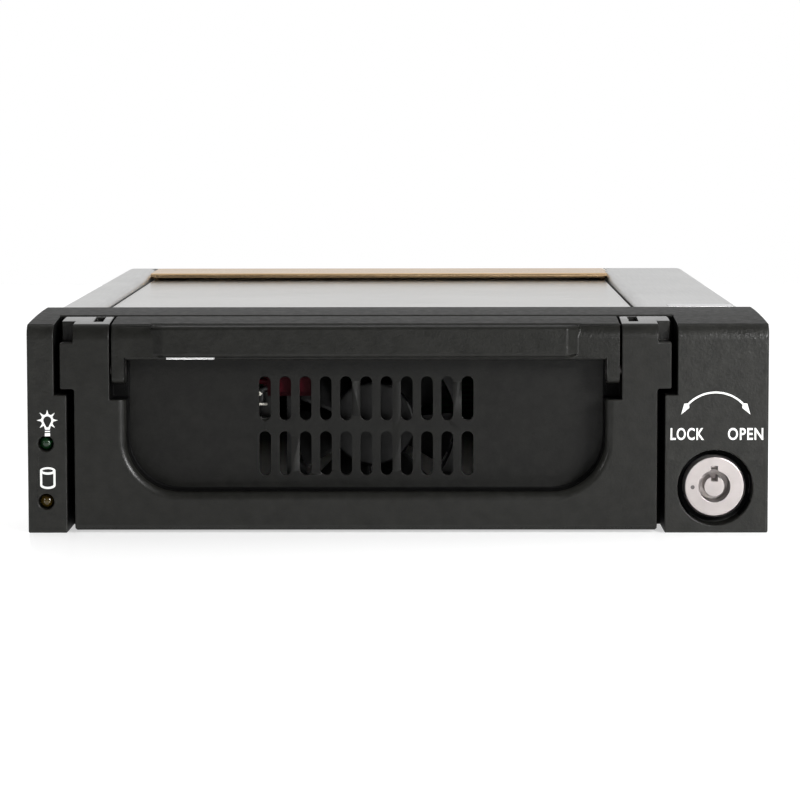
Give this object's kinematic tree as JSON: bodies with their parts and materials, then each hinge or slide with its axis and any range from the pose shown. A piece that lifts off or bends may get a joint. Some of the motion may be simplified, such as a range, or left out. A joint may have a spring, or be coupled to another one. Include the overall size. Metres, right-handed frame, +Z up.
{
  "type": "hot swap drive cage",
  "caption": "Bay cage with a tubular key lock and a slide-out drive tray whose front has a bail handle, finger pocket, vent slots and a fan.",
  "frame": {"origin": "middle of the footprint, on the plane the underside rests on", "axes": "+X to the right seen from the front, +Y to the rear along the tray's travel, +Z up"},
  "size_m": [0.148, 0.2116, 0.0435],
  "materials": {
    "black_plastic": "fine moulded grain, satin",
    "aluminium": "mill finish, faintly brushed",
    "gold_sheet": "gold zinc passivated",
    "nylon": "natural nylon",
    "lock_metal": "nickel plated, satin",
    "steel": "zinc plated",
    "contact_brass": "tinned brass",
    "circuit_board": "green solder mask",
    "green_lens": "tinted clear resin",
    "amber_lens": "tinted clear resin",
    "cable_sheath": "soft vinyl",
    "red_sheath": "soft vinyl",
    "grommet_rubber": "matt"
  },
  "bodies": {
    "cage": {"outer_bezel": "black_plastic", "left_side_rail": "aluminium", "right_side_rail": "aluminium", "base_plate": "aluminium", "rear_bridge": "gold_sheet", "rear_panel": "aluminium", "left_runner": "nylon", "right_runner": "nylon", "backplane_board": "circuit_board", "backplane_socket": "black_plastic", "backplane_standoffs": "steel", "backplane_screws": "steel", "power_inlet": "black_plastic", "power_pins": "contact_brass", "data_port": "black_plastic", "lock_housing": "lock_metal", "lock_nut": "steel", "lock_sensor": "black_plastic", "sensor_board": "circuit_board", "sensor_cable": "cable_sheath", "led_board": "circuit_board", "green_led": "green_lens", "amber_led": "amber_lens", "led_cable": "cable_sheath", "bezel_screws": "steel", "base_rivets": "steel", "bridge_rivets": "steel", "panel_screws": "steel"},
    "lock": {"lock_plug": "lock_metal", "lock_cam": "steel", "cam_nut": "steel"},
    "tray": {"tray_head": "black_plastic", "tray_pan": "aluminium", "tray_cover": "aluminium", "head_screws": "steel", "cover_screws": "steel", "handle_pins": "steel", "drive_grommets": "grommet_rubber", "tray_board": "circuit_board", "board_screws": "steel", "tray_plug": "black_plastic", "drive_connector": "black_plastic", "fan_frame": "black_plastic", "fan_stator": "steel", "fan_screws": "steel", "fan_plug": "nylon", "cable_socket": "nylon", "fan_lead_red": "red_sheath", "fan_lead_black": "cable_sheath", "fan_cable": "cable_sheath"},
    "handle": {"handle": "black_plastic"},
    "fan": {"fan_rotor": "black_plastic"}
  },
  "joints": [
    {"name": "tray_slide", "type": "slide", "parent": "cage", "child": "tray", "axis": [0, -1, 0], "range_m": [0, 0.2]},
    {"name": "handle_hinge", "type": "hinge", "parent": "tray", "child": "handle", "pos_m": [-0.0064, -0.1008, 0.0324], "axis": [1, 0, 0], "range_deg": [0, 90]},
    {"name": "lock_turn", "type": "hinge", "parent": "cage", "child": "lock", "pos_m": [0.0634, -0.0922, 0.0091], "axis": [0, -1, 0], "range_deg": [0, 90]},
    {"name": "fan_spin", "type": "hinge", "parent": "tray", "child": "fan", "pos_m": [-0.0051, -0.0872, 0.02075], "axis": [0, 1, 0], "continuous": true}
  ]
}
